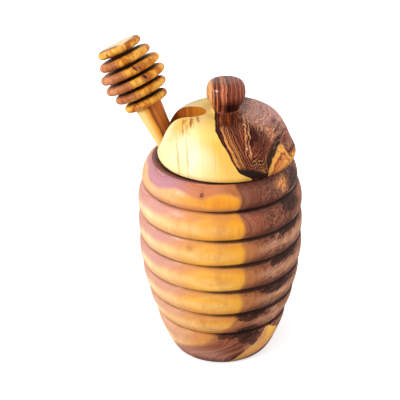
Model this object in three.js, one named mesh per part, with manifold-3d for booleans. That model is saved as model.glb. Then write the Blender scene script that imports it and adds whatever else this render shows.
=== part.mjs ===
// Olive wood honey pot: a turned jar, a loose domed lid with a dipper notch, and a turned dipper.
// Millimetres, +Z up. The origin is the centre of the jar's underside.
import * as THREE from 'three';
import { mergeVertices } from 'three/addons/utils/BufferGeometryUtils.js';
import Module from 'manifold-3d';

// Clearance kept between pieces that touch on the real object.
const SEAT_GAP = 0.3;

// Jar, outside. Each band is a bulging bead. The shares give the height and radius of the groove
// under it and how far it swells, against the jar's height and greatest radius.
const JAR_HEIGHT = 103.7;
const JAR_RADIUS = 40;
const BAND_SHARES = [
  { bottom: 0, radius: 0.548, bulge: 0.075 },
  { bottom: 0.217, radius: 0.778, bulge: 0.045 },
  { bottom: 0.346, radius: 0.885, bulge: 0.04 },
  { bottom: 0.484, radius: 0.947, bulge: 0.043 },
  { bottom: 0.621, radius: 0.962, bulge: 0.042 },
  { bottom: 0.749, radius: 0.953, bulge: 0.06 },
  { bottom: 0.884, radius: 0.905, bulge: 0.062 },
];
const RIM_RADIUS = 0.808 * JAR_RADIUS;
const BEAD_FULLNESS = 2;
const FOOT_FULLNESS = 2.7;
const FOOT_SKEW = 0.8;
const BEAD_STEPS = 7;
const FOOT_STEPS = 9;

// Jar, inside. A straight bore runs down to a round bowl.
const RIM_WIDTH = 3.9;
const MOUTH_RADIUS = RIM_RADIUS - RIM_WIDTH;
const MOUTH_EASING = 0.5;
const FLOOR_THICKNESS = 9.5;
const BOWL_TOP = FLOOR_THICKNESS + MOUTH_RADIUS;
const BOWL_STEPS = 9;

// Lid. It lies off the jar's axis, as far as its loose spigot lets it. The shares give its outline
// from the edge of its flat seat up to the knob's foot, against its radius and height.
const LID_SHIFT = 3.4;
const LID_OVERHANG = 0.6;
const LID_RADIUS = RIM_RADIUS + LID_OVERHANG;
const LID_HEIGHT = 23;
const LID_SHARES = [
  { radius: 0.93, height: 0 },
  { radius: 0.963, height: 0.013 },
  { radius: 0.988, height: 0.048 },
  { radius: 1, height: 0.13 },
  { radius: 0.954, height: 0.283 },
  { radius: 0.912, height: 0.422 },
  { radius: 0.872, height: 0.561 },
  { radius: 0.824, height: 0.691 },
  { radius: 0.763, height: 0.817 },
  { radius: 0.687, height: 0.904 },
  { radius: 0.59, height: 0.965 },
  { radius: 0.486, height: 0.991 },
  { radius: 0.383, height: 1 },
  { radius: 0.28, height: 0.991 },
];
const SPIGOT_RADIUS = MOUTH_RADIUS - LID_SHIFT - SEAT_GAP;
const SPIGOT_DEPTH = 7;
const SPIGOT_EASING = 0.8;

// The knob is turned in one piece with the lid, on which its shares start.
const KNOB_RADIUS = 9.2;
const KNOB_HEIGHT = 15;
const KNOB_SHARES = [
  { radius: 0.75, height: 0.02 },
  { radius: 0.707, height: 0.127 },
  { radius: 0.815, height: 0.253 },
  { radius: 0.935, height: 0.373 },
  { radius: 0.99, height: 0.493 },
  { radius: 1, height: 0.613 },
  { radius: 0.978, height: 0.733 },
  { radius: 0.924, height: 0.86 },
  { radius: 0.804, height: 0.933 },
  { radius: 0.62, height: 0.98 },
  { radius: 0, height: 1 },
];

// Dipper. It leans on the mouth's edge and its round end rests on the bowl opposite.
// Distances along its axis are counted up from the plane of the rim.
const DIPPER_HEADING = THREE.MathUtils.degToRad(156);
const DIPPER_LEAN = THREE.MathUtils.degToRad(27.3);
const DIPPER_SIDESTEP = -5.9;
const HANDLE_RADIUS = 4.95;
const HANDLE_END_RADIUS = 4.6;
const HANDLE_END_STEPS = 3;
const HEAD_RISE = 2.5;
const HEAD_START = LID_HEIGHT / Math.cos(DIPPER_LEAN) + HEAD_RISE;
const HEAD_RADIUS = 15.2;
const RING_PITCH = 5.6;
const RING_THICKNESS = 4.0;
const RING_ROUNDING = 1.1;
const RING_SHARES = [0.72, 0.86, 1, 1, 0.86, 0.72];
const CORE_SHARE = 0.52;
// The handle swells from the rim up to the head, against its radius at the rim.
const HANDLE_SHARES = [
  { along: 0.07, radius: 1 },
  { along: 0.39, radius: 1.07 },
  { along: 0.63, radius: 1.17 },
  { along: 0.85, radius: 1.29 },
];
const NECK_SHARE = 1.29;
const MOUTH_SEARCH_STEPS = 360;

// Notch in the lid, open to its edge, in which the dipper's handle stands.
const NOTCH_PLAY = 0.75;
const NOTCH_RADIUS = HANDLE_RADIUS + NOTCH_PLAY;
const NOTCH_INNER_SHARE = 0.31;
const NOTCH_ARC_STEPS = 12;

// Facets round each turned piece.
const JAR_FACETS = 48;
const LID_FACETS = 48;
const DIPPER_FACETS = 28;

const OLIVE_GOLD = 0xc08a4a;
const OLIVE_DARK = 0x6d4228;
const OLIVE_PALE = 0xd9b06c;
const WOOD_ROUGHNESS = 0.42;

const wasm = await Module();
wasm.setup();

// Height of a bead's swelling at a share of its length, from 0 at either end to 1 in the middle.
function swelling(share, fullness) {
  const fromMiddle = Math.abs(2 * share - 1);
  return Math.pow(Math.max(0, 1 - Math.pow(fromMiddle, fullness)), 1 / fullness);
}

// Shares of a half circle, closer together at its ends.
function arcShares(steps) {
  return Array.from({ length: steps }, (_, i) => (1 - Math.cos((Math.PI * i) / steps)) / 2);
}

// The outside of the jar from the edge of its base up to the rim.
function jarOutside() {
  const points = [];
  const rim = { bottom: 1, radius: RIM_RADIUS / JAR_RADIUS };
  BAND_SHARES.forEach((band, index) => {
    const isFoot = index === 0;
    const next = BAND_SHARES[index + 1] ?? rim;
    for (const share of arcShares(isFoot ? FOOT_STEPS : BEAD_STEPS)) {
      const lift = swelling(
        isFoot ? Math.pow(share, FOOT_SKEW) : share,
        isFoot ? FOOT_FULLNESS : BEAD_FULLNESS,
      );
      const radius = THREE.MathUtils.lerp(band.radius, next.radius, share) + band.bulge * lift;
      const height = THREE.MathUtils.lerp(band.bottom, next.bottom, share);
      points.push([JAR_RADIUS * radius, JAR_HEIGHT * height]);
    }
  });
  points.push([RIM_RADIUS, JAR_HEIGHT]);
  return points;
}

// The bore and the bowl from the mouth down to the middle of the floor.
function jarInside() {
  const points = [
    [MOUTH_RADIUS + MOUTH_EASING, JAR_HEIGHT],
    [MOUTH_RADIUS, JAR_HEIGHT - MOUTH_EASING],
  ];
  for (let i = 0; i < BOWL_STEPS; i += 1) {
    const angle = (Math.PI / 2) * (i / BOWL_STEPS);
    points.push([MOUTH_RADIUS * Math.cos(angle), BOWL_TOP - MOUTH_RADIUS * Math.sin(angle)]);
  }
  points.push([0, FLOOR_THICKNESS]);
  return points;
}

// The whole outline of the lid with its spigot below the seat and its knob on top.
function lidOutline() {
  const spigotBottom = -SPIGOT_DEPTH;
  const points = [
    [0, spigotBottom],
    [SPIGOT_RADIUS - SPIGOT_EASING, spigotBottom],
    [SPIGOT_RADIUS, spigotBottom + SPIGOT_EASING],
    [SPIGOT_RADIUS, 0],
  ];
  for (const { radius, height } of LID_SHARES) {
    points.push([LID_RADIUS * radius, LID_HEIGHT * height]);
  }
  for (const { radius, height } of KNOB_SHARES) {
    points.push([KNOB_RADIUS * radius, LID_HEIGHT + KNOB_HEIGHT * height]);
  }
  return points;
}

// How far out along its heading the dipper's axis crosses the plane of the rim, when its handle
// leans on the mouth's eased edge.
function dipperReach() {
  const across = HANDLE_RADIUS + SEAT_GAP;
  const along = across / Math.cos(DIPPER_LEAN);
  const edge = MOUTH_RADIUS + MOUTH_EASING / 2;
  let reach = edge;
  for (let i = 0; i < MOUTH_SEARCH_STEPS; i += 1) {
    const angle = (2 * Math.PI * i) / MOUTH_SEARCH_STEPS;
    const side = DIPPER_SIDESTEP + across * Math.sin(angle);
    reach = Math.min(reach, Math.sqrt(edge * edge - side * side) - along * Math.cos(angle));
  }
  return reach;
}

// A point in the plane of the rim, given along and across the dipper's heading.
function onHeading(along, across) {
  const cos = Math.cos(DIPPER_HEADING);
  const sin = Math.sin(DIPPER_HEADING);
  return new THREE.Vector3(along * cos + across * sin, along * sin - across * cos, JAR_HEIGHT);
}

// The lower of the two distances along an axis at which it is a given radius from the origin.
function lowerCrossing(offset, axis, radius) {
  const square = axis.lengthSq();
  const towards = offset.dot(axis);
  const spread = towards * towards - square * (offset.lengthSq() - radius * radius);
  return (-towards - Math.sqrt(spread)) / square;
}

// Where along the dipper's axis the centre of its round end lies when it rests on the wall opposite,
// which is the straight bore or, further down, the bowl.
function handleEndCentre() {
  const axis = new THREE.Vector3(0, 0, 1);
  axis.applyAxisAngle(new THREE.Vector3(0, 1, 0), DIPPER_LEAN);
  axis.applyAxisAngle(new THREE.Vector3(0, 0, 1), DIPPER_HEADING);
  const offset = onHeading(dipperReach(), DIPPER_SIDESTEP);
  offset.z -= BOWL_TOP;
  const room = MOUTH_RADIUS - HANDLE_END_RADIUS - SEAT_GAP;
  const level = new THREE.Vector3(1, 1, 0);
  const onBore = lowerCrossing(offset.clone().multiply(level), axis.clone().multiply(level), room);
  const isAboveBowl = offset.z + onBore * axis.z > 0;
  return isAboveBowl ? onBore : lowerCrossing(offset, axis, room);
}

// The core's radius in the groove between two neighbouring rings.
function coreBetween(share, neighbour) {
  return HEAD_RADIUS * CORE_SHARE * Math.min(share, neighbour);
}

// The outline of the dipper along its own axis, from the handle's end up to the head's flat top.
function dipperOutline() {
  const points = [];
  const endCentre = handleEndCentre();
  for (let i = 0; i <= HANDLE_END_STEPS; i += 1) {
    const angle = (Math.PI / 2) * (i / HANDLE_END_STEPS);
    points.push([
      HANDLE_END_RADIUS * Math.sin(angle),
      endCentre - HANDLE_END_RADIUS * Math.cos(angle),
    ]);
  }
  for (const { along, radius } of HANDLE_SHARES) {
    points.push([HANDLE_RADIUS * radius, HEAD_START * along]);
  }
  RING_SHARES.forEach((share, index) => {
    const isFirst = index === 0;
    const isLast = index === RING_SHARES.length - 1;
    const radius = HEAD_RADIUS * share;
    const bottom = HEAD_START + index * RING_PITCH - RING_THICKNESS / 2;
    const top = bottom + RING_THICKNESS;
    points.push(
      [isFirst ? HANDLE_RADIUS * NECK_SHARE : coreBetween(share, RING_SHARES[index - 1]), bottom],
      [radius - RING_ROUNDING, bottom],
      [radius, bottom + RING_ROUNDING],
      [radius, top - RING_ROUNDING],
      [radius - RING_ROUNDING, top],
      [isLast ? 0 : coreBetween(share, RING_SHARES[index + 1]), top],
    );
  });
  return points;
}

// Drops the triangles that shrink to a line where an outline meets the axis.
function withoutFlatTriangles(geometry) {
  const source = geometry.index.array;
  const kept = [];
  for (let i = 0; i < source.length; i += 3) {
    const [a, b, c] = [source[i], source[i + 1], source[i + 2]];
    if (a !== b && b !== c && c !== a) {
      kept.push(a, b, c);
    }
  }
  geometry.setIndex(kept);
  return geometry;
}

// Keeps only positions, with one vertex wherever corners meet.
function welded(geometry) {
  geometry.deleteAttribute('normal');
  geometry.deleteAttribute('uv');
  return withoutFlatTriangles(mergeVertices(geometry));
}

// A solid turned about +Z from [radius, height] points given from bottom to top round the section.
function turned(outline, facets) {
  const points = outline.map(([radius, height]) => new THREE.Vector2(radius, height));
  const geometry = new THREE.LatheGeometry(points, facets);
  geometry.rotateX(Math.PI / 2);
  return welded(geometry);
}

function toManifold(geometry) {
  return new wasm.Manifold(new wasm.Mesh({
    numProp: 3,
    vertProperties: new Float32Array(geometry.attributes.position.array),
    triVerts: new Uint32Array(geometry.index.array),
  }));
}

function toGeometry(manifold) {
  const mesh = manifold.getMesh();
  const geometry = new THREE.BufferGeometry();
  geometry.setAttribute('position', new THREE.BufferAttribute(mesh.vertProperties, mesh.numProp));
  geometry.setIndex(new THREE.BufferAttribute(mesh.triVerts, 1));
  return geometry;
}

// The tool that cuts the notch: round at its inner end, straight out past the lid's edge.
function notchCutter() {
  const run = 2 * LID_RADIUS;
  const shape = new THREE.Shape();
  shape.moveTo(run, NOTCH_RADIUS);
  shape.lineTo(0, NOTCH_RADIUS);
  for (let i = 1; i < NOTCH_ARC_STEPS; i += 1) {
    const angle = Math.PI / 2 + (Math.PI * i) / NOTCH_ARC_STEPS;
    shape.lineTo(NOTCH_RADIUS * Math.cos(angle), NOTCH_RADIUS * Math.sin(angle));
  }
  shape.lineTo(0, -NOTCH_RADIUS);
  shape.lineTo(run, -NOTCH_RADIUS);
  const depth = 2 * (SPIGOT_DEPTH + LID_HEIGHT + KNOB_HEIGHT);
  const geometry = new THREE.ExtrudeGeometry(shape, { depth, bevelEnabled: false });
  geometry.translate(0, 0, -depth / 2);
  geometry.rotateZ(DIPPER_HEADING);
  const inner = onHeading(NOTCH_INNER_SHARE * LID_RADIUS, DIPPER_SIDESTEP);
  geometry.translate(inner.x - LID_SHIFT, inner.y, 0);
  return welded(geometry);
}

function makeJar() {
  return turned([[0, 0], ...jarOutside(), ...jarInside()], JAR_FACETS);
}

function makeLid() {
  const blank = toManifold(turned(lidOutline(), LID_FACETS));
  const geometry = toGeometry(blank.subtract(toManifold(notchCutter())));
  geometry.translate(LID_SHIFT, 0, JAR_HEIGHT + SEAT_GAP);
  return geometry;
}

function makeDipper() {
  const geometry = turned(dipperOutline(), DIPPER_FACETS);
  geometry.rotateY(DIPPER_LEAN);
  geometry.rotateZ(DIPPER_HEADING);
  const crossing = onHeading(dipperReach(), DIPPER_SIDESTEP);
  geometry.translate(crossing.x, crossing.y, crossing.z);
  return geometry;
}

function wooden(name, geometry, color) {
  geometry.computeVertexNormals();
  const material = new THREE.MeshStandardMaterial({ color, roughness: WOOD_ROUGHNESS, metalness: 0 });
  const mesh = new THREE.Mesh(geometry, material);
  mesh.name = name;
  return mesh;
}

const pot = new THREE.Group();
pot.name = 'olive_wood_honey_pot';
pot.add(wooden('jar', makeJar(), OLIVE_GOLD));
pot.add(wooden('lid', makeLid(), OLIVE_DARK));
pot.add(wooden('dipper', makeDipper(), OLIVE_PALE));

export default pot;
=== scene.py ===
"""Looks of a turned olive wood honey pot: the jar, its loose lid and the dipper that leans in it.

Sizes are in millimetres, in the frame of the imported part, and meshes are made in metres. A turn is an
angle round the pot in degrees, 0 at the front and rising to the right.
"""

from __future__ import annotations

import logging
import math
from dataclasses import dataclass, field
from enum import Enum
from functools import cached_property, reduce

import bpy
from mathutils import Matrix, Vector

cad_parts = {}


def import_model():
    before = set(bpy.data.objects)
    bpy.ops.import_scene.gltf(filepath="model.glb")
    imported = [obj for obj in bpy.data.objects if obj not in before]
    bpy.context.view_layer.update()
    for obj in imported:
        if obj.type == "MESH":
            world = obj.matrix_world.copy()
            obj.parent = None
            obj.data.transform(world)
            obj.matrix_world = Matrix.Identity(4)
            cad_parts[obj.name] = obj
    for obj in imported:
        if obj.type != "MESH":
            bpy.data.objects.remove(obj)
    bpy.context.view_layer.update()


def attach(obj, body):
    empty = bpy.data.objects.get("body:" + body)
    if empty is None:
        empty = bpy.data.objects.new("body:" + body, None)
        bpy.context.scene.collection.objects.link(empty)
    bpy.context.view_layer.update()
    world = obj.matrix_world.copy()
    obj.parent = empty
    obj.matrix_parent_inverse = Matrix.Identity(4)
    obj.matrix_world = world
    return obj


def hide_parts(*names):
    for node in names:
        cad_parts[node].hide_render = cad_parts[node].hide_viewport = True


LOG = logging.getLogger("honey_pot")
MM = 0.001
ORIGIN = (0.0, 0.0, 0.0)
WHITE = (1.0, 1.0, 1.0, 1.0)

# An outline and a line are points in order. A spot is a patch's centre and its reach, both in two
# directions of the plane that it is laid out in.
Outline = list[tuple[float, float]]
Line = tuple[tuple[float, float], ...]
Place = tuple[float, float, float]
Spot = tuple[float, float, float, float]
Colour = tuple[float, float, float, float]
Socket = bpy.types.NodeSocket
Tree = bpy.types.NodeTree


class Body(Enum):
    """The moving bodies of the part, by the names in its record."""

    JAR = "jar"
    LID = "lid"
    DIPPER = "dipper"


class Slot(Enum):
    """The record's material slots."""

    JAR = "jar_wood"
    LID = "lid_wood"
    DIPPER = "dipper_wood"


class Trace(Enum):
    """Values that the meshes carry for the materials."""

    SHARE = "band_share"
    CREASE = "crease_depth"


def tint(code: str) -> Colour:
    """Turns a written colour into scene values.

    Args:
        code: Six hexadecimal digits, as the colour shows on a screen.

    Returns:
        The linear colour with full opacity.
    """
    parts = [int(code[i : i + 2], 16) / 255 for i in (0, 2, 4)]
    linear = [c / 12.92 if c <= 0.04045 else ((c + 0.055) / 1.055) ** 2.4 for c in parts]
    return (linear[0], linear[1], linear[2], 1.0)


# Node helpers


class Value:
    """A number in a node tree. Ordinary arithmetic on it adds Math nodes."""

    def __init__(self, sheet: Sheet, socket: Socket) -> None:
        """Keeps the sheet and the socket."""
        self.sheet = sheet
        self.socket = socket

    def __add__(self, other: Number) -> Value:
        """Adds."""
        return self.sheet.math("ADD", self, other)

    def __sub__(self, other: Number) -> Value:
        """Subtracts."""
        return self.sheet.math("SUBTRACT", self, other)

    def __rsub__(self, other: Number) -> Value:
        """Subtracts this from a number."""
        return self.sheet.math("SUBTRACT", other, self)

    def __mul__(self, other: Number) -> Value:
        """Multiplies."""
        return self.sheet.math("MULTIPLY", self, other)

    def __truediv__(self, other: Number) -> Value:
        """Divides."""
        return self.sheet.math("DIVIDE", self, other)

    __radd__ = __add__
    __rmul__ = __mul__

    def size(self) -> Value:
        """Drops the sign."""
        return self.sheet.math("ABSOLUTE", self, 0.0)

    def root(self) -> Value:
        """Takes the square root."""
        return self.sheet.math("SQRT", self, 0.0)

    def least(self, other: Number) -> Value:
        """Gives the smaller of two."""
        return self.sheet.math("MINIMUM", self, other)

    def most(self, other: Number) -> Value:
        """Gives the larger of two."""
        return self.sheet.math("MAXIMUM", self, other)

    def rise(self, low: float, high: float) -> Value:
        """Rises smoothly from 0 to 1, or falls from 1 to 0 where low is the larger.

        Args:
            low: Where the result is 0.
            high: Where the result is 1.

        Returns:
            The result, level outside the two.
        """
        if low > high:
            return 1.0 - self.rise(high, low)
        ends = {"Value": self, "From Min": low, "From Max": high}
        node = self.sheet.put("ShaderNodeMapRange", ends, interpolation_type="SMOOTHSTEP")
        return Value(self.sheet, node.outputs[0])

    def between(self, low: float, full: float, fading: float, high: float) -> Value:
        """Rises from low to full, stays at 1 up to fading and falls again to high."""
        return self.rise(low, full) * self.rise(high, fading)

    def bump(self, low: float, peak: float, high: float) -> Value:
        """Rises from low to a peak and falls again to high."""
        return self.between(low, peak, peak, high)

    def follow(self, points: Line, top: float) -> Value:
        """Follows a line drawn through points.

        Args:
            points: Inputs in rising order and the results there, from 0 to top.
            top: The largest result.

        Returns:
            The result, which stays level before the first point and after the last.
        """
        start, end = points[0][0], points[-1][0]
        share = (self.most(start).least(end) - start) / (end - start)
        node = self.sheet.put("ShaderNodeFloatCurve", {"Value": share})
        line = node.mapping.curves[0]
        places = [((place - start) / (end - start), height / top) for place, height in points]
        for place in places[1:-1]:
            line.points.new(*place)
        line.points[0].location, line.points[-1].location = places[0], places[-1]
        node.mapping.update()
        return Value(self.sheet, node.outputs[0]) * top


Number = float | Value
Results = dict[str, Value | Socket]


def plain(value: object) -> object:
    """Takes the socket out of a value and leaves anything else as it is."""
    return value.socket if isinstance(value, Value) else value


class Sheet:
    """A node tree with short ways to add nodes and join them."""

    def __init__(self, tree: Tree) -> None:
        """Takes the tree of a material, a world or a node group."""
        self.tree = tree

    def put(
        self, kind: str, inputs: dict[str | int, object] | None = None, **settings: object
    ) -> bpy.types.Node:
        """Adds a node.

        Args:
            kind: The node's type name.
            inputs: Numbers, values or sockets, by input name or number.
            settings: The node's own settings.

        Returns:
            The new node.
        """
        node = self.tree.nodes.new(kind)
        for name, setting in settings.items():
            setattr(node, name, setting)
        for key, value in (inputs or {}).items():
            source = plain(value)
            if isinstance(source, Socket):
                self.tree.links.new(source, node.inputs[key])
            else:
                node.inputs[key].default_value = source
        return node

    def results(self, node: bpy.types.Node) -> Results:
        """Gives a node's outputs by name, the numbers as values."""
        return {o.name: Value(self, o) if o.type == "VALUE" else o for o in node.outputs}

    def use(self, group: Tree, **inputs: object) -> Results:
        """Places a node group with its own values and gives its outputs."""
        return self.results(self.put("ShaderNodeGroup", inputs, node_tree=group))

    def math(self, operation: str, a: Number, b: Number) -> Value:
        """Adds a Math node of an operation on two numbers."""
        return Value(self, self.put("ShaderNodeMath", {0: a, 1: b}, operation=operation).outputs[0])

    def vector(self, operation: str, a: object, b: object) -> Socket:
        """Adds a Vector Math node of an operation on two vectors."""
        return self.put("ShaderNodeVectorMath", {0: a, 1: b}, operation=operation).outputs[0]

    def length(self, vector: Socket) -> Value:
        """Gives a vector's length."""
        return self.results(self.put("ShaderNodeVectorMath", {0: vector}, operation="LENGTH"))["Value"]

    def split(self, vector: Socket) -> list[Value]:
        """Gives the X, Y and Z of a vector."""
        return [Value(self, socket) for socket in self.put("ShaderNodeSeparateXYZ", {0: vector}).outputs]

    def join(self, x: Number, y: Number, z: Number) -> Socket:
        """Makes a vector of three numbers."""
        return self.put("ShaderNodeCombineXYZ", {0: x, 1: y, 2: z}).outputs[0]

    def noise(
        self, vector: Socket, scale: float, detail: float = 3.0, rough: float = 0.5, bend: float = 0.0
    ) -> Value:
        """Adds a noise.

        Args:
            vector: Where it is read.
            scale: Its fineness.
            detail: How many finer layers it has.
            rough: How strong the finer layers are.
            bend: How far it is distorted.

        Returns:
            The noise, mostly from 0.3 to 0.7.
        """
        look = {"Vector": vector, "Scale": scale, "Detail": detail, "Roughness": rough, "Distortion": bend}
        return Value(self, self.put("ShaderNodeTexNoise", look).outputs[0])

    def sway(self, vector: Socket, scale: float, reach: float, detail: float = 2.0) -> Value:
        """Adds a noise about zero that strays about as far as its reach either way."""
        return (self.noise(vector, scale, detail) - 0.5) * (4.0 * reach)

    def mix(self, share: Number, a: object, b: object) -> Socket:
        """Mixes two colours, the second by its share."""
        return self.put("ShaderNodeMix", {0: share, 6: a, 7: b}, data_type="RGBA").outputs[2]

    def paint(self, colour: object, *coats: tuple[Number, str]) -> Socket:
        """Lays coats of colour over a colour.

        Args:
            colour: What is underneath.
            coats: Each coat's share and its written colour, in order.

        Returns:
            The colour with its coats.
        """
        for share, code in coats:
            colour = self.mix(share, colour, tint(code))
        return colour

    def ramp(self, value: Value, stops: tuple[tuple[float, str], ...]) -> Socket:
        """Maps a number to colours.

        Args:
            value: From 0 to 1.
            stops: Places and written colours, in rising order.

        Returns:
            The colour.
        """
        node = self.put("ShaderNodeValToRGB", {0: value})
        band = node.color_ramp
        while len(band.elements) < len(stops):
            band.elements.new(1.0)
        for element, (place, code) in zip(band.elements, stops):
            element.position = place
            element.color = tint(code)
        return node.outputs[0]


def empty_sheet(owner: bpy.types.Material | bpy.types.World) -> Sheet:
    """Gives the emptied node tree of a new material or world.

    Args:
        owner: The material or the world.

    Returns:
        A sheet to work on its tree.
    """
    owner.use_nodes = True
    owner.node_tree.nodes.clear()
    return Sheet(owner.node_tree)


class Effect(Sheet):
    """A node group in the making, with named inputs and outputs."""

    kinds: dict[type, str] = {float: "NodeSocketFloat", tuple: "NodeSocketVector"}

    def __init__(self, name: str, takes: dict[str, object], gives: dict[str, type]) -> None:
        """Makes the group with its inputs and outputs.

        Args:
            name: The group's name.
            takes: Its inputs with their usual values.
            gives: Its outputs and their kinds.
        """
        super().__init__(bpy.data.node_groups.new(name, "ShaderNodeTree"))
        for label, value in takes.items():
            kind = self.kinds[type(value)]
            socket = self.tree.interface.new_socket(label, in_out="INPUT", socket_type=kind)
            socket.default_value = value
        for label, kind in gives.items():
            self.tree.interface.new_socket(label, in_out="OUTPUT", socket_type=self.kinds[kind])
        self.taken = self.results(self.put("NodeGroupInput"))
        self.given = self.put("NodeGroupOutput").inputs

    def give(self, **values: Value | Socket) -> Tree:
        """Joins results to the outputs.

        Args:
            values: The result for each output, by its name.

        Returns:
            The finished group.
        """
        for name, value in values.items():
            self.tree.links.new(plain(value), self.given[name])
        return self.tree


class WoodEffects:
    """The effects that the three woods share, each a node group that is built at its first use."""

    @cached_property
    def place(self) -> Tree:
        """Makes the group that tells where a point is on a turned piece.

        Returns:
            The group, with a point in millimetres, its radius and its turn.
        """
        s = Effect("turned_place", {"Vector": ORIGIN}, {"Point": tuple, "Radius": float, "Turn": float})
        point = s.vector("MULTIPLY", s.taken["Vector"], (1 / MM, 1 / MM, 1 / MM))
        x, y, _ = s.split(point)
        turn = s.math("ARCTAN2", x, y * -1.0) * math.degrees(1.0)
        return s.give(Point=point, Radius=s.length(s.join(x, y, 0.0)), Turn=turn)

    @cached_property
    def fibre(self) -> Tree:
        """Makes the soft tone of fibres that run along Z.

        Returns:
            The group. Tone is broad and Thread is fine.
        """
        s = Effect("wood_fibre", {"Point": ORIGIN, "Fineness": 1.0}, {"Tone": float, "Thread": float})
        point = s.taken["Point"]
        x, y, z = s.split(point)
        grain = s.join(x + s.sway(point, 0.05, 1.2), y, z * 0.07)
        scaled = s.put("ShaderNodeVectorMath", {0: grain, "Scale": s.taken["Fineness"]}, operation="SCALE")
        fine = scaled.outputs[0]
        return s.give(Tone=s.noise(fine, 0.22, 4.0, 0.55, 0.6), Thread=s.noise(fine, 1.5, 3.0, 0.6))

    @cached_property
    def figure(self) -> Tree:
        """Makes uneven growth lines along the level lines of a field.

        Returns:
            The group. Band is broad light and dark, and Line is 1 on thin dark lines.
        """
        takes = {"Point": ORIGIN, "Field": 0.0, "Fineness": 1.0, "Curl": 1.0}
        s = Effect("growth_figure", takes, {"Band": float, "Line": float})
        x, y, z = s.split(s.taken["Point"])
        broad = s.noise(s.join(x, y, z * 0.45), 0.09, 3.0, 0.5, 1.2) - 0.5
        ragged = s.noise(s.join(x, y, z * 0.5), 0.5, 3.0, 0.6, 0.3) - 0.5
        shift = (broad + ragged * 0.3) * 6.0 * s.taken["Curl"]
        level = (s.taken["Field"] + shift) * s.taken["Fineness"]
        along = s.noise(s.join(x, y, z * 0.3), 0.05, 1.0) * 0.8
        band = s.noise(s.join(level * 0.42, along, 0.0), 1.0, 2.0, 0.55)
        thin = s.noise(s.join(level * 1.3, along, 4.0), 1.0, 2.0, 0.5)
        return s.give(Band=band, Line=thin.rise(0.54, 0.66))

    @cached_property
    def patch(self) -> Tree:
        """Makes a ragged oval patch round a place.

        Returns:
            The group. Mask is 1 inside, and Away is 0 in the middle and 1 at the edge.
        """
        places = {"Point": ORIGIN, "Place": ORIGIN, "Centre": ORIGIN, "Reach": (1.0, 1.0, 1.0)}
        takes = {**places, "Softness": 0.3, "Ragged": 0.2}
        s = Effect("ragged_patch", takes, {"Mask": float, "Away": float})
        offset = s.vector("SUBTRACT", s.taken["Place"], s.taken["Centre"])
        away = s.length(s.vector("DIVIDE", offset, s.taken["Reach"]))
        away = away + (s.noise(s.taken["Point"], 0.35, 3.0, 0.6) - 0.5) * 4.0 * s.taken["Ragged"]
        return s.give(Mask=((1.0 - away) / s.taken["Softness"]).rise(-1.0, 1.0), Away=away)

    @cached_property
    def pores(self) -> Tree:
        """Makes the short dark pores that lie along the grain.

        Returns:
            The group. Mask is 1 in a pore.
        """
        s = Effect("wood_pores", {"Point": ORIGIN, "Amount": 0.5}, {"Mask": float})
        stretched = s.vector("MULTIPLY", s.taken["Point"], (1.0, 1.0, 0.16))
        cells = s.results(s.put("ShaderNodeTexVoronoi", {"Vector": stretched, "Scale": 1.1}))
        reach = s.noise(s.taken["Point"], 0.12, 2.0) * s.taken["Amount"] * 0.42
        return s.give(Mask=(reach - cells["Distance"]).rise(-0.03, 0.05))

    @cached_property
    def shade_and_soil(self) -> Tree:
        """Makes the painted shade in creases, together with the oil and grime that gather there.

        Returns:
            The group. Mask is 1 where a crease is darkest.
        """
        s = Effect("crease_shade_and_soil", {"Point": ORIGIN, "Crease": 0.0, "Amount": 1.0}, {"Mask": float})
        uneven = s.noise(s.taken["Point"], 0.2, 3.0) * 0.5 + 0.75
        depth = s.taken["Crease"] * uneven
        return s.give(Mask=depth.rise(0.12, 0.75) * s.taken["Amount"])

    @cached_property
    def surface(self) -> Tree:
        """Makes the oiled surface: fine turning lines, open pores and a patchy shine.

        Returns:
            The group. Relief is a height for a bump, in millimetres.
        """
        takes = {"Point": ORIGIN, "Thread": 0.5, "Pores": 0.0, "ShadeAndSoil": 0.0, "Gloss": 0.35}
        s = Effect("oiled_surface", takes, {"Roughness": float, "Relief": float})
        x, y, z = s.split(s.taken["Point"])
        thread, pores = s.taken["Thread"], s.taken["Pores"]
        lathe = s.noise(s.join(s.length(s.join(x, y, 0.0)), 0.0, z), 2.6, 2.0)
        patchy = (s.noise(s.taken["Point"], 0.09, 3.0) - 0.5) * 0.22
        rough = s.taken["Gloss"] + patchy + (thread - 0.5) * 0.16 + pores * 0.2 + s.taken["ShadeAndSoil"] * 0.15
        relief = lathe * 0.02 + thread * 0.02 - pores * 0.05
        return s.give(Roughness=rough.least(0.9).most(0.12), Relief=relief)


# Finishes


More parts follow.
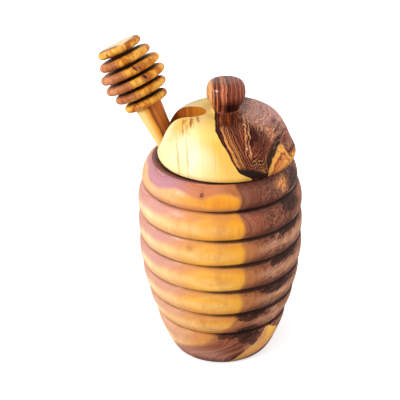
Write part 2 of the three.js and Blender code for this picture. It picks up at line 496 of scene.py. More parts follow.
class Ground:
    """What the colours of a wood are worked out from, in one material."""

    def __init__(self, s: Sheet, effects: WoodEffects, where: Socket, fineness: float) -> None:
        """Reads the place and the fibres.

        Args:
            s: The material's sheet.
            effects: The shared effects.
            where: The coordinates to work in, in metres.
            fineness: How fine the fibres are.
        """
        self.s = s
        self.effects = effects
        place = s.use(effects.place, Vector=where)
        self.point, self.turn, self.radius = place["Point"], place["Turn"], place["Radius"]
        self.x, self.y, self.z = s.split(self.point)
        fibre = s.use(effects.fibre, Point=self.point, Fineness=fineness)
        self.tone, self.thread = fibre["Tone"], fibre["Thread"]

    def trace(self, trace: Trace) -> Value:
        """Reads a value that the mesh carries."""
        return self.s.results(self.s.put("ShaderNodeAttribute", attribute_name=trace.value))["Fac"]

    def squeezed(self, share: float) -> Socket:
        """Gives the point with its height squeezed, which draws a noise read there out along Z."""
        return self.s.vector("MULTIPLY", self.point, (1.0, 1.0, share))

    def figure(self, level: Value, fineness: float, curl: float) -> tuple[Value, Value]:
        """Gives the bands and the thin lines of a field's growth figure."""
        made = self.s.use(self.effects.figure, Point=self.point, Field=level, Fineness=fineness, Curl=curl)
        return made["Band"], made["Line"]

    def patch(self, place: Socket, spot: Spot, **edges: float) -> Results:
        """Places one ragged oval patch.

        Args:
            place: Where a point is in the plane that the patch is laid out in.
            spot: The patch's centre and its reach, both in two directions.
            edges: How soft and how ragged its edges are, by the group's names.

        Returns:
            The outputs of its group.
        """
        a, b, reach_a, reach_b = spot
        oval = {"Centre": (a, b, 0.0), "Reach": (reach_a, reach_b, 1.0)}
        return self.s.use(self.effects.patch, Point=self.point, Place=place, **oval, **edges)

    def patches(self, place: Socket, spots: tuple[Spot, ...], softness: float, ragged: float) -> Value:
        """Joins ragged oval patches into one mask.

        Args:
            place: Where a point is in the plane that the patches are laid out in.
            spots: Each patch's centre and its reach, both in two directions.
            softness: How soft the edges are, as a share of the reach.
            ragged: How ragged the edges are.

        Returns:
            The mask.
        """
        made = [self.patch(place, spot, Softness=softness, Ragged=ragged) for spot in spots]
        return reduce(Value.most, [outputs["Mask"] for outputs in made])

    def knot(self, colour: Socket, place: Socket, spot: Spot, depth: float) -> Socket:
        """Lays a knot over a colour.

        Args:
            colour: The colour underneath.
            place: Where a point is in the knot's plane.
            spot: The knot's centre and its reach, both in two directions.
            depth: How strong it is, from 0 to 1.

        Returns:
            The colour with the knot.
        """
        away = self.patch(place, spot)["Away"]
        halo = away.rise(3.2, 0.9) * (0.55 * depth)
        ring = away.bump(0.25, 0.8, 1.35) * (depth * depth)
        return self.s.paint(colour, (halo, "a5603a"), (ring, "2a1410"))


@dataclass(frozen=True)
class OiledWood:
    """What every wooden finish here has in common."""

    name: str
    fineness: float = 1.0
    gloss: float = 0.36
    shine: float = 0.09
    coat: float = 0.07
    coat_roughness: float = 0.14
    bump: float = 0.4
    pore_amount: float = 0.5
    pore_shade: float = 0.45
    # Painted shade in creases, together with oil and grime, takes this colour and amount.
    shade_and_soil_colour: str = "1f0d0a"
    shade_and_soil_amount: float = 0.9

    def make(self, effects: WoodEffects) -> bpy.types.Material:
        """Builds the material.

        Args:
            effects: The shared effects.

        Returns:
            The material.
        """
        material = bpy.data.materials.new(self.name)
        s = empty_sheet(material)
        g = Ground(s, effects, self.where(s), self.fineness)
        pores = s.use(effects.pores, Point=g.point, Amount=self.pore_amount)["Mask"]
        shade_and_soil = s.use(effects.shade_and_soil, Point=g.point, Crease=self.crease(g), Amount=self.shade_and_soil_amount)["Mask"]
        worn = {"Thread": g.thread, "Pores": pores, "ShadeAndSoil": shade_and_soil, "Gloss": self.gloss}
        surface = s.use(effects.surface, Point=g.point, **worn)
        bump = s.put("ShaderNodeBump", {"Strength": self.bump, "Distance": MM, "Height": surface["Relief"]})
        # Pores, and the painted shade with grime in creases, darken the colour.
        pores_and_crease_shade = ((pores * self.pore_shade, self.shade_and_soil_colour), (shade_and_soil, self.shade_and_soil_colour))
        shader = s.put(
            "ShaderNodeBsdfPrincipled",
            {
                "Base Color": s.paint(self.colour(g), *pores_and_crease_shade),
                "Roughness": surface["Roughness"],
                "Normal": bump.outputs[0],
                "Coat Weight": self.coat_weight(g),
                "Coat Roughness": self.coat_roughness,
                "Specular IOR Level": self.shine,
            },
        )
        s.put("ShaderNodeOutputMaterial", {"Surface": shader.outputs[0]})
        return material

    def where(self, s: Sheet) -> Socket:
        """Gives the coordinates that the wood is laid out in."""
        return s.put("ShaderNodeTexCoord").outputs["Object"]

    def crease(self, g: Ground) -> Value:
        """Tells how deep in a crease a point is, from 0 to 1."""
        return g.trace(Trace.CREASE)

    def coat_weight(self, g: Ground) -> Number:
        """Tells how much clear polish lies on the wood."""
        return self.coat

    def colour(self, g: Ground) -> Socket:
        """Works out the wood's colour."""
        raise NotImplementedError


@dataclass(frozen=True)
class JarPlace:
    """Where a point lies in the jar's figure, by a turn that is a little uneven.

    Share tells how far up its band the point is, and middle tells the same from -1 to 1. Past tells how
    many degrees beyond the heart's border it is. Right is 1 beyond that border, and heart is 1 there and
    behind.
    """

    g: Ground
    turn: Value
    share: Value
    middle: Value
    plane: Socket
    past: Value
    right: Value
    heart: Value


@dataclass(frozen=True)
class JarWood(OiledWood):
    """Golden sapwood over brown heartwood, cut by the bands of the jar.

    Its spots lie in the plane of turn and height, in degrees and millimetres, and a knot is a spot and how
    strong it is. The wall step is the wall's length in one degree.
    """

    gold: str = "db9842"
    pale_gold: str = "deae86"
    butter: str = "f0ca8e"
    orange: str = "f2a828"
    blush: str = "b87052"
    plum: str = "ac787e"
    brown: str = "80402b"
    umber: str = "a8684e"
    tan: str = "ca8e66"
    dark: str = "41201b"
    black: str = "170e10"
    stripe: str = "f4b460"
    wall_step: float = 0.62
    dark_spots: tuple[Spot, ...] = (
        (59, 88.0, 12, 4.8),
        (70, 97, 13, 6),
        (56, 76.4, 16, 2.0),
        (50, 62.2, 18, 2.1),
        (43, 47.2, 21, 2.4),
        (22, 33.6, 14, 2.4),
        (10, 21.6, 22, 1.9),
        (24, 18.5, 10, 4.0),
        (30, 14.5, 4, 2.6),
        (22, 25.0, 9, 1.8),
    )
    light_spots: tuple[Spot, ...] = (
        (53, 98.8, 7.0, 3.2),
        (64, 71, 14, 3.0),
        (56, 55, 18, 2.6),
        (46, 41, 18, 2.6),
        (48, 29.0, 15, 4.5),
    )
    glows: tuple[Spot, ...] = (
        (11, 85, 7, 6.0),
        (12, 71, 6, 6.0),
        (10, 57.3, 5, 5.0),
        (8, 43, 6, 5.0),
        (-4, 57.5, 17, 4.5),
        (-10, 43, 22, 4.0),
        (-4, 29.5, 11, 2.2),
        (2, 95.5, 13, 3.2),
    )
    knots: tuple[tuple[Spot, float], ...] = (
        ((-15.0, 99.9, 1.0, 0.8), 1.0),
        ((-22.5, 73.3, 1.6, 1.0), 0.5),
        ((-4.0, 58.3, 1.2, 0.9), 0.25),
    )

    def colour(self, g: Ground) -> Socket:
        """Works out the wood's colour.

        Args:
            g: What the colour is worked out from.

        Returns:
            The colour.
        """
        j = self.lay_out(g)
        colour = g.s.mix(j.heart, self.gold_side(j), self.heart_side(j))
        colour = g.s.mix(self.stripe_mask(j) * j.right, colour, self.stripe_wood(j))
        # Painted contact shadow along the bottom of the foot, all round but the far left.
        foot = g.z.rise(6.5, 1.0) * g.turn.rise(-50.0, -15.0)
        return self.tops_and_knots(j, g.s.paint(colour, (foot * 0.5, "46323a")))

    def crease(self, g: Ground) -> Value:
        """Tells the painted groove shade's depth, less on the golden side and under a band on the right."""
        lit = g.trace(Trace.SHARE).rise(0.3, 0.02) * g.turn.rise(12.0, 35.0) * 0.65
        return g.trace(Trace.CREASE) * (g.turn.rise(-25.0, 25.0) * 0.9 + 0.5) * (1.0 - lit)

    def lay_out(self, g: Ground) -> JarPlace:
        """Works out where a point lies in the jar's figure.

        Args:
            g: What the colour is worked out from.

        Returns:
            The place.
        """
        s = g.s
        share = g.trace(Trace.SHARE)
        slow = g.squeezed(0.3)
        turn = g.turn + s.sway(slow, 0.09, 2.2)
        middle = (share - 0.5) * 2.0
        edge = 14.5 - 8.0 * g.z.rise(38.0, 26.0) - 20.0 * g.z.rise(29.0, 15.0) - 50.0 * g.z.rise(18.0, 4.0)
        past = turn - edge + middle * middle * 4.0
        soft = g.z.rise(26.0, 16.0) * 8.0 + 2.2
        right = (past / soft).rise(-1.0, 1.0)
        back = (g.turn + s.sway(slow, 0.07, 9.0, 4.0)).rise(-146.0, -154.0)
        plane = s.join(turn, g.z + s.sway(g.point, 0.1, 0.5), 0.0)
        return JarPlace(g, turn, share, middle, plane, past, right, right.most(back))

    def gold_side(self, j: JarPlace) -> Socket:
        """Works out the sapwood, orange beside the heart, with painted light paling it left and low on each
        band.

        Args:
            j: Where a point lies in the figure.

        Returns:
            The colour.
        """
        g, s, turn, share = j.g, j.g.s, j.turn, j.share
        arc = (turn + 6.0) * self.wall_step
        nest = (arc * arc * 0.2 + j.middle * j.middle * 60.0).root()
        band, line = g.figure(nest, 0.8, 0.8)
        # Painted light: the gold pales towards the lit left side.
        colour = s.mix(turn.rise(-12.0, -62.0), tint(self.gold), tint(self.pale_gold))
        glow = g.patches(j.plane, self.glows, 0.5, 0.1)
        on_rim = g.z.rise(90.5, 92.0)
        off_rim = 1.0 - on_rim
        # Painted light: bounce light on the lower middle of each band on the left, and a near-white lit left
        # edge.
        low = share.bump(0.12, 0.42, 0.72) * turn.rise(18.0, -8.0) * off_rim
        lit_limb = turn.rise(-48.0, -66.0) * (turn.rise(-115.0, -80.0) * 0.8 + 0.2)
        lit = share.bump(0.04, 0.2, 0.42) * turn.bump(-30.0, -4.0, 16.0) * g.z.bump(40.0, 52.0, 72.0)
        return s.paint(
            colour,
            (glow * 0.72, self.orange),
            (glow * on_rim * 0.6, "d27c28"),
            (g.z.between(37.0, 43.0, 76.0, 80.0) * turn.rise(-34.0, -12.0) * 0.3, "f0bc50"),
            (low * 0.45, self.butter),
            (share.bump(0.25, 0.5, 0.8) * lit_limb * off_rim * 0.7, "f8e8b4"),
            (turn.rise(-14.0, 4.0) * (g.z.rise(46.0, 62.0) * 0.25 + 0.1), "e4941a"),
            (share.rise(0.55, 0.9) * turn.rise(-4.0, 12.0) * off_rim * 0.45, "c47020"),
            # Painted shade at the foot of each band on the left.
            (share.rise(0.32, 0.08) * turn.rise(-14.0, -38.0) * 0.3, "b0743e"),
            (on_rim * turn.rise(-22.0, -40.0) * 0.3, "cc8658"),
            (on_rim * turn.bump(-44.0, -18.0, 8.0) * 0.35, "be6c2c"),
            (lit * 0.45, "f6cc72"),
            (g.z.bump(22.0, 24.5, 28.0) * turn.rise(-26.0, 0.0) * 0.5, "7a4630"),
            (band.rise(0.5, 0.66) * 0.28, self.butter),
            (band.rise(0.5, 0.36) * 0.22, "b4743a"),
            (g.tone.rise(0.5, 0.68) * 0.3, self.orange),
            (g.tone.rise(0.46, 0.3) * 0.28, "b87638"),
            (line * 0.08, self.blush),
            # Painted shade at the foot of the rim band.
            (on_rim * share.rise(0.32, 0.08) * 0.6, self.umber),
            (g.thread.rise(0.56, 0.72) * 0.22, self.umber),
        )

    def heart_side(self, j: JarPlace) -> Socket:
        """Works out the heartwood, its growth lines, streaks and dark patches, and painted light and shade.

        Args:
            j: Where a point lies in the figure.

        Returns:
            The colour.
        """
        g, s, turn, share, past = j.g, j.g.s, j.turn, j.share, j.past
        lines, thin = g.figure(past * self.wall_step, 1.1, 1.0)
        along = turn * self.wall_step
        slant = s.join(g.z * 0.9 - along * 0.45, along * 0.3 + g.z * 0.15, 0.0)
        streak = s.noise(slant, 0.75, 4.0, 0.65, 0.8)
        far = turn.between(22.0, 40.0, 75.0, 105.0)
        tone = ((lines - 0.5) * 0.8 + 0.51) * (1.0 - far * 0.8) + streak * (far * 0.8)
        stops = (
            (0.34, self.black),
            (0.4, self.dark),
            (0.46, self.brown),
            (0.53, self.umber),
            (0.57, self.brown),
            (0.66, self.tan),
        )
        light = g.patches(j.plane, self.light_spots, 0.6, 0.25)
        grain = streak.rise(0.4, 0.6) * 0.7 + 0.25
        shade = (g.patches(j.plane, self.dark_spots, 1.0, 0.3) + (streak - 0.5) * 2.0).rise(0.4, 0.7)
        behind = s.noise(g.squeezed(0.6), 0.06, 4.0, 0.6, 0.8).rise(0.5, 0.6)
        behind = behind * turn.size().rise(75.0, 95.0)
        # Painted shade on each band's top, under the band above, on the right.
        top = (share + (streak - 0.5) * 0.5).rise(0.72, 0.94) * turn.between(2.0, 18.0, 60.0, 85.0)
        foot = g.z.rise(23.0, 21.0)
        second = 1.0 - g.z.rise(37.0, 35.5) * turn.rise(32.0, 42.0) * 0.85
        # Painted sheen along each band's lower edge at the right limb.
        under = share.bump(0.02, 0.09, 0.2) * turn.between(56.0, 64.0, 80.0, 100.0)
        # Painted shade on the lower part of each band on the right.
        lower = share.rise(0.36, 0.12) * turn.between(8.0, 20.0, 62.0, 74.0) * second
        # Painted light on the middle of each band on the right.
        lit_middle = share.bump(0.3, 0.5, 0.74) * turn.between(18.0, 28.0, 80.0, 100.0) * g.z.rise(79.0, 76.0)
        sixth = g.z.between(76.8, 78.2, 91.0, 92.4) * turn.between(24.0, 34.0, 60.0, 72.0)
        rim_shade = g.z.rise(90.5, 92.0) * turn.between(6.0, 13.0, 41.0, 49.0)
        flecks = s.noise(slant, 1.2, 4.0, 0.65, 1.2).rise(0.5, 0.43)
        sparks = s.noise(slant, 2.2, 3.0, 0.6, 0.5).rise(0.54, 0.62)
        smoke = s.noise(g.squeezed(0.7), 0.16, 4.0, 0.65, 1.5).rise(0.5, 0.4)
        drawn = s.join(g.z * 1.4 - along * 0.7, along * 0.16 + g.z * 0.08, 0.0)
        wisps = s.noise(drawn, 1.2, 3.0, 0.6, 0.8)
        faint = far * (1.0 - g.z.rise(76.0, 82.0) * 0.6)
        return s.paint(
            s.ramp(tone, stops),
            (past.rise(14.0, 3.0) * 0.4, self.umber),
            (past.rise(19.0, 2.0) * g.z.between(22.0, 30.0, 74.0, 84.0) * 0.6, "c17c44"),
            (thin * (1.0 - far) * 0.16, self.dark),
            (light * grain * 0.85, self.tan),
            (flecks * far * 0.65, self.dark),
            (sparks * far * 0.5, "d8a284"),
            (smoke * far * 0.5, self.dark),
            (wisps.rise(0.52, 0.6) * faint * 0.5, "d8a68a"),
            (wisps.rise(0.48, 0.4) * faint * 0.6, self.dark),
            (g.z.rise(93.0, 95.0) * light * streak.rise(0.42, 0.52) * 0.8, "d88c38"),
            (lit_middle * 0.4, "d6a07c"),
            (sixth * 0.35, "54281c"),
            (rim_shade * 0.45, self.dark),
            # Painted shade on the bands' tops and lower parts.
            (top * second * 0.6, self.dark),
            (lower * (1.0 - foot) * 0.65, self.dark),
            (shade * (0.82 - foot * 0.1), self.black),
            (under * 0.5, "d2a184"),
            (g.z.bump(0.5, 7.0, 15.0) * turn.rise(14.0, -12.0) * 0.45, "c99484"),
            (behind * 0.85, self.dark),
        )

    def stripe_mask(self, j: JarPlace) -> Value:
        """Marks the yellow streak that climbs across the foot's right side.

        Args:
            j: Where a point lies in the figure.

        Returns:
            The mask, 1 in the streak.
        """
        g, turn = j.g, j.turn
        below = turn * 0.46 - 2.3 - g.z
        beside = (turn - g.z * 0.8 - 22.8) * 0.5
        above = g.z + 1.9 - turn * 0.17
        inside = below.most(beside).least(above).least(37.3 - g.z - turn * 0.35)
        inside = inside + g.s.sway(g.point, 0.3, 0.3)
        return inside.rise(-0.3, 0.4) * turn.rise(76.0, 64.0) * g.z.rise(22.9, 22.0)

    def stripe_wood(self, j: JarPlace) -> Socket:
        """Works out the colour of the streak, with brown lines along it and a brighter end.

        Args:
            j: Where a point lies in the figure.

        Returns:
            The colour.
        """
        band, line = j.g.figure(j.turn * 0.3 - j.g.z, 2.6, 0.15)
        upper = j.g.patches(j.plane, ((38.5, 18.5, 6.0, 7.0),), 0.6, 0.2)
        bright = j.g.patches(j.plane, ((49.5, 17.5, 5.5, 4.0),), 0.6, 0.2)
        return j.g.s.paint(
            tint(self.stripe),
            (band.rise(0.5, 0.66) * 0.6, self.pale_gold),
            (band.rise(0.49, 0.42) * 0.6, "b8703a"),
            (line * 0.75, "9c5628"),
            (upper * 0.45, "b87e5e"),
            (bright * 0.8, "f2bc40"),
            (j.turn.rise(54.0, 64.0) * 0.4, self.tan),
        )

    def tops_and_knots(self, j: JarPlace, colour: Socket) -> Socket:
        """Adds the bands' brown tops on the left, the knots, the rim's end grain, and painted light and
        shade.

        Args:
            j: Where a point lies in the figure.
            colour: The colour underneath.

        Returns:
            The colour with all of them.
        """
        g, s, turn, share = j.g, j.g.s, j.turn, j.share
        left_arch = (turn + 34.0) / 19.0
        right_arch = (turn - 1.0) / 15.0
        rim_edge = 0.47 + (1.0 - left_arch * left_arch).most(0.0) * 0.2
        rim_edge = rim_edge + (1.0 - right_arch * right_arch).most(0.0) * 0.29
        rim_edge = rim_edge + turn.rise(-62.0, -82.0) * 0.4
        band_edge = 0.84 + turn.least(10.0) * 0.0055
        on_rim = g.z.rise(91.6, 91.8)
        off_rim = 1.0 - on_rim
        over = share + s.sway(g.squeezed(0.25), 0.09, 0.08) - (rim_edge * on_rim + band_edge * off_rim)
        cover = (over / (0.2 - on_rim * 0.11)).rise(-1.0, 1.0) * (1.0 - j.heart) * turn.rise(-125.0, -75.0)
        wave, fine = g.figure(over * 9.0, 1.8, 0.12)
        left = turn.rise(-15.0, -45.0)
        # The tops grow pinker to the left, partly the plum wood and partly a painted sheen.
        hue = s.paint(
            s.mix((on_rim * 0.15 + 0.85) * left, tint(self.blush), tint(self.plum)),
            (wave.rise(0.5, 0.68) * 0.5, "c08c84"),
            (on_rim * turn.rise(-6.0, 12.0) * 0.6, self.brown),
            # Painted groove shade at the tops of the bands on the far left.
            (share.rise(0.9, 0.98) * off_rim * turn.rise(-70.0, -40.0) * 0.6, "8a4632"),
            (fine * 0.35, self.brown),
        )
        cover = cover * (1.0 - g.z.rise(72.0, 20.0) * left * 0.5)
        colour = s.mix(cover * (on_rim * 0.35 + left * 0.25 + 0.5).least(1.0), colour, hue)
        for spot, depth in self.knots:
            colour = g.knot(colour, j.plane, spot, depth)
        # The rim's top and inside are dark end grain; the lighter outer ring on the left leaves it darkest
        # by the lid's edge, partly as painted shade of the lid.
        outer = g.radius.rise(29.8, 31.6) * g.z.rise(103.0, 103.5) * turn.rise(0.0, -30.0)
        grain = s.paint(
            tint("331a18"), (g.tone.rise(0.4, 0.65) * 0.45, self.brown), (outer * 0.7, "8c5c5c")
        )
        return s.mix(share.rise(1.05, 1.1), colour, grain)


@dataclass(frozen=True)
class LidWood(OiledWood):
    """Cream sapwood beside a marbled dark heart.

    The corner's edge is the height of the golden corner's top at each turn. Spots lie in the plane seen
    from above, and those of the trail in the plane seen from the front. The wall reach is how far outside
    the notch its wall's colour ends, and how far out it is still full.
    """

    cream: str = "e2d2a6"
    yellow: str = "dfb456"
    fleck: str = "a9662a"
    dark: str = "451711"
    black: str = "150907"
    brown: str = "7e3520"
    tan: str = "dc9050"
    rust: str = "b04c18"
    corner_edge: Line = (
        (20.0, 0.0),
        (32.5, 0.0),
        (34.0, 5.0),
        (37.0, 7.4),
        (44.5, 11.3),
        (50.0, 12.9),
        (57.0, 13.8),
        (61.0, 10.4),
        (63.5, 6.4),
        (66.0, 5.6),
        (73.5, 5.4),
        (84.0, 4.6),
        (94.0, 3.0),
        (110.0, 0.0),
    )
    fleck_spots: tuple[Spot, ...] = ((-18.0, -11.5, 3.6, 4.5), (-13.5, -10.0, 1.2, 3.0))
    trail_spots: tuple[Spot, ...] = ((-22.5, 7.0, 0.5, 12.0), (-18.0, 8.0, 0.4, 9.0))
    deep_spots: tuple[Spot, ...] = ((2.0, -14.0, 5.0, 8.0), (14.0, -21.0, 4.5, 4.5), (24.0, -11.0, 3.6, 6.0))
    notch: tuple[float, float] = (0.0, 0.0)
    notch_heading: float = 0.0
    notch_radius: float = 5.7
    wall_reach: tuple[float, float] = (0.3, 0.12)

    def colour(self, g: Ground) -> Socket:
        """Works out the wood's colour.

        Args:
            g: What the colour is worked out from.

        Returns:
            The colour.
        """
        s = g.s
        plane = s.join(g.x, g.y, 0.0)
        front = (g.y * -1.0 - 20.0).most(0.0)
        side = g.x + 5.6 - front * front * 0.075 + s.sway(s.join(g.x, g.y, g.z * 0.3), 0.15, 0.5)
        side = side - g.z.rise(5.5, 0.5) * g.y.rise(-27.0, -30.0) * 8.0
        wobble = s.sway(g.squeezed(0.5), 0.5, 0.8, 3.0)
        corner = (g.z - g.turn.follow(self.corner_edge, 15.0)) * 0.8 + wobble
        corner = corner + (g.turn.rise(96.0, 112.0) + g.turn.rise(28.0, 16.0)) * 5.0
        inner = side.least(corner)
        colour = s.mix((side - corner).rise(0.0, 3.0), self.sap_side(g, plane), self.gold_corner(g, corner))
        colour = s.mix(inner.rise(-0.12, 0.2), colour, self.heart_side(g, plane, inner))
        on_knob = g.z.rise(23.6, 24.6) * g.radius.rise(10.0, 9.6)
        colour = s.mix(on_knob, colour, self.knob_wood(g))
        return s.mix(self.wall_mask(g), colour, self.wall_wood(g))

    def coat_weight(self, g: Ground) -> Number:
        """Tells how much clear polish lies on the wood, most on the knob."""
        return g.z.rise(25.0, 29.0) * 0.3 + self.coat

    def sap_side(self, g: Ground, plane: Socket) -> Socket:
        """Works out the cream wood with its faint lines and flecks.

        Args:
            g: What the colour is worked out from.
            plane: Where a point is, seen from above.

        Returns:
            The colour.
        """
        s = g.s
        band, line = g.figure(g.x + g.y * 0.12, 1.0, 0.25)
        warmth = g.x + s.sway(plane, 0.2, 1.0) + g.z.rise(10.0, 19.0) * 5.0
        streaks = s.noise(s.join(g.x * 1.4 + g.z * 0.1, g.y * 0.12, g.z * 0.06), 1.0, 3.0, 0.6)
        flecks = g.patches(plane, self.fleck_spots, 0.6, 0.3)
        trail = g.patches(s.join(g.x + g.z * 0.05, g.z, 0.0), self.trail_spots, 0.7, 0.4)
        lower = g.z.rise(9.0, 1.0) * g.x.rise(-22.0, -6.0)
        edge = (g.x - (g.y * -1.0 - 20.0).most(0.0) * 0.55 + (streaks - 0.5) * 12.0).rise(-12.0, -6.0)
        warm = g.patches(plane, ((-20.0, -9.5, 6.0, 5.5),), 0.8, 0.2)
        return s.paint(
            s.mix(warmth.rise(-14.0, -1.0), tint(self.cream), tint(self.yellow)),
            (g.z.rise(11.0, 3.0) * 0.4, "e6c678"),
            (lower * 0.2, self.yellow),
            (edge * 0.45, "dca63c"),
            (warm * 0.9, "da983c"),
            (band.rise(0.52, 0.68) * 0.25, "e2b478"),
            (line * 0.12, self.fleck),
            (g.z.rise(16.0, 21.0) * 0.4, "f2d27a"),
            (g.x.rise(4.0, 9.0) * g.z.rise(5.5, 1.0) * 0.5, "b8742c"),
            (flecks * streaks.rise(0.47, 0.54) * 0.95, "96561e"),
            (trail * streaks.rise(0.42, 0.52) * g.y.rise(-8.0, -12.0) * 0.55, self.fleck),
        )

    def gold_corner(self, g: Ground, corner: Value) -> Socket:
        """Works out the golden wood at the lower right.

        Args:
            g: What the colour is worked out from.
            corner: How far outside the corner a point is.

        Returns:
            The colour.
        """
        band, line = g.figure(corner, 1.4, 0.5)
        stops = ((0.4, self.brown), (0.48, "c26e2e"), (0.56, "d8923e"), (0.64, self.yellow))
        mottle = g.s.noise(g.point, 0.45, 4.0, 0.65, 1.0).rise(0.54, 0.62)
        specks = g.s.noise(g.point, 1.1, 2.0).rise(0.6, 0.66) * g.z.rise(6.0, 3.0)
        return g.s.paint(
            g.s.ramp(band, stops),
            (line * 0.5, self.brown),
            (mottle * 0.5, "8a4a20"),
            (g.z.rise(6.0, 1.0) * 0.35, "8a4a2c"),
            (specks * 0.7, self.dark),
            (corner.rise(-2.1, -1.5) * g.turn.rise(61.0, 56.0) * 0.96, self.black),
        )

    def heart_side(self, g: Ground, plane: Socket, inner: Value) -> Socket:
        """Works out the marbled heart, whose lines run along its borders.

        Args:
            g: What the colour is worked out from.
            plane: Where a point is, seen from above.
            inner: How far inside the heart's borders it is.

        Returns:
            The colour.
        """
        s = g.s
        band, line = g.figure(inner, 1.5, 0.75)
        arcs, arc_line = g.figure(g.radius * 0.9 + g.x * 0.2, 1.3, 1.3)
        shoulder = g.patches(plane, ((19.0, -1.0, 11.0, 16.0),), 0.4, 0.2)
        tone = band * (1.0 - shoulder) + arcs * shoulder
        stops = (
            (0.36, self.black),
            (0.43, self.dark),
            (0.5, "742a1c"),
            (0.55, "904430"),
            (0.6, self.dark),
            (0.66, "b86444"),
        )
        deep = g.patches(plane, self.deep_spots, 0.5, 0.25)
        ember = g.patches(plane, ((0.6, -11.0, 0.6, 4.6),), 0.6, 0.3)
        past = g.x - 8.1 + g.y * 0.04 + s.sway(g.point, 0.4, 0.9, 3.0)
        reach = g.y.between(-28.5, -27.0, -7.0, -5.0)
        seams = (past.bump(-1.3, -0.7, -0.1) + past.bump(0.3, 0.9, 1.4)) * reach
        gap = past.bump(-1.9, -1.5, -1.2) + past.bump(-0.2, 0.1, 0.4) + past.bump(1.3, 1.6, 2.1)
        flame = inner.bump(0.5, 2.2, 9.0) * g.y.rise(-17.0, -22.0) * g.x.rise(9.0, 6.5)
        orange = g.patches(plane, ((19.6, -16.3, 2.6, 2.4),), 0.5, 0.35)
        curls = g.patches(plane, ((15.0, -14.5, 5.0, 3.5),), 0.8, 0.2) * tone.bump(0.44, 0.485, 0.53)
        beside = inner.rise(4.0, 1.5) * g.x.rise(12.0, 15.0)
        low = s.join(g.turn, g.z + g.turn * 0.16, 0.0)
        char = g.patches(low, ((20.0, 6.7, 18.0, 2.1),), 0.4, 0.25)
        row = g.patches(low, ((28.0, 11.3, 9.0, 2.6),), 0.4, 0.2)
        veins = tone.bump(0.465, 0.485, 0.505).most(tone.bump(0.53, 0.545, 0.56))
        strength = flame.most(beside) * 0.65 + 0.35
        return s.paint(
            s.ramp(tone, stops),
            # Painted sheen on the heart's shoulder, strongest high up.
            (shoulder * (g.z.rise(13.0, 19.0) * 0.5 + 0.2), "d4988a"),
            (deep * 0.8, self.dark),
            (orange * 0.7, "b4622e"),
            (curls * 0.85, "e6b08a"),
            (flame * band.rise(0.46, 0.51) * 0.85, "d48e48"),
            (veins * strength * (1.0 - shoulder), self.tan),
            (tone.bump(0.445, 0.48, 0.515) * shoulder * 0.8, "e6b08a"),
            (gap * reach * 0.7, self.black),
            (seams * 0.9, "e69e68"),
            (ember * 0.9, self.rust),
            (line * (1.0 - shoulder) * 0.7, self.black),
            (arc_line * shoulder * 0.6, self.dark),
            (g.thread.rise(0.5, 0.38) * 0.4, self.black),
            (char.most(row * 0.8) * 0.97, self.black),
            (row * veins * (1.0 - char) * 0.95, self.tan),
            (inner.bump(0.0, 0.5, 1.1) * 0.9, self.black),
            (inner.bump(0.0, 0.9, 2.2) * g.x.rise(11.0, 14.0) * 0.85, self.black),
        )

    def knob_wood(self, g: Ground) -> Socket:
        """Works out the knob, with streaks that run straight up through it.

        Args:
            g: What the colour is worked out from.

        Returns:
            The colour.
        """
        band, line = g.figure(g.x + g.y * 0.1, 2.2, 0.4)
        stops = ((0.38, self.black), (0.46, "561f11"), (0.53, "924428"), (0.63, "c47650"))
        light = g.x.rise(-6.0, -7.0)
        # Painted shade under the knob's bulge and at its neck, on the right.
        low = g.z.rise(33.0, 27.0) * g.x.rise(-4.5, 0.5)
        plain_side = g.x.rise(-1.0, 3.0)
        return g.s.paint(
            g.s.ramp(band, stops),
            (plain_side * 0.4, "8e4630"),
            (line * (0.65 - plain_side * 0.35), self.black),
            (light, "d09660"),
            (light * line * 0.5, self.brown),
            (g.x.bump(-5.5, -4.9, -4.3) * 0.9, self.black),
            (low * 0.9, self.black),
        )

    def wall_mask(self, g: Ground) -> Value:
        """Marks the wall of the notch.

        Args:
            g: What the colour is worked out from.

        Returns:
            The mask, 1 on the wall.
        """
        heading = math.radians(self.notch_heading)
        x, y = g.x - self.notch[0], g.y - self.notch[1]
        along = (x * math.cos(heading) + y * math.sin(heading)).least(0.0)
        across = x * math.sin(heading) - y * math.cos(heading)
        away = (along * along + across * across).root()
        return away.rise(self.notch_radius + self.wall_reach[0], self.notch_radius + self.wall_reach[1])

    def wall_wood(self, g: Ground) -> Socket:
        """Works out the notch's wall, orange-brown from end grain and painted shade, and darker to the left.

        Args:
            g: What the colour is worked out from.

        Returns:
            The colour.
        """
        band, line = g.figure(g.x, 1.2, 0.1)
        colour = g.s.mix(g.x.rise(-20.0, -11.0), tint("984c14"), tint("c0721e"))
        return g.s.paint(colour, (band.rise(0.5, 0.65) * 0.4, "cf8428"), (line * 0.5, "5a2a10"))


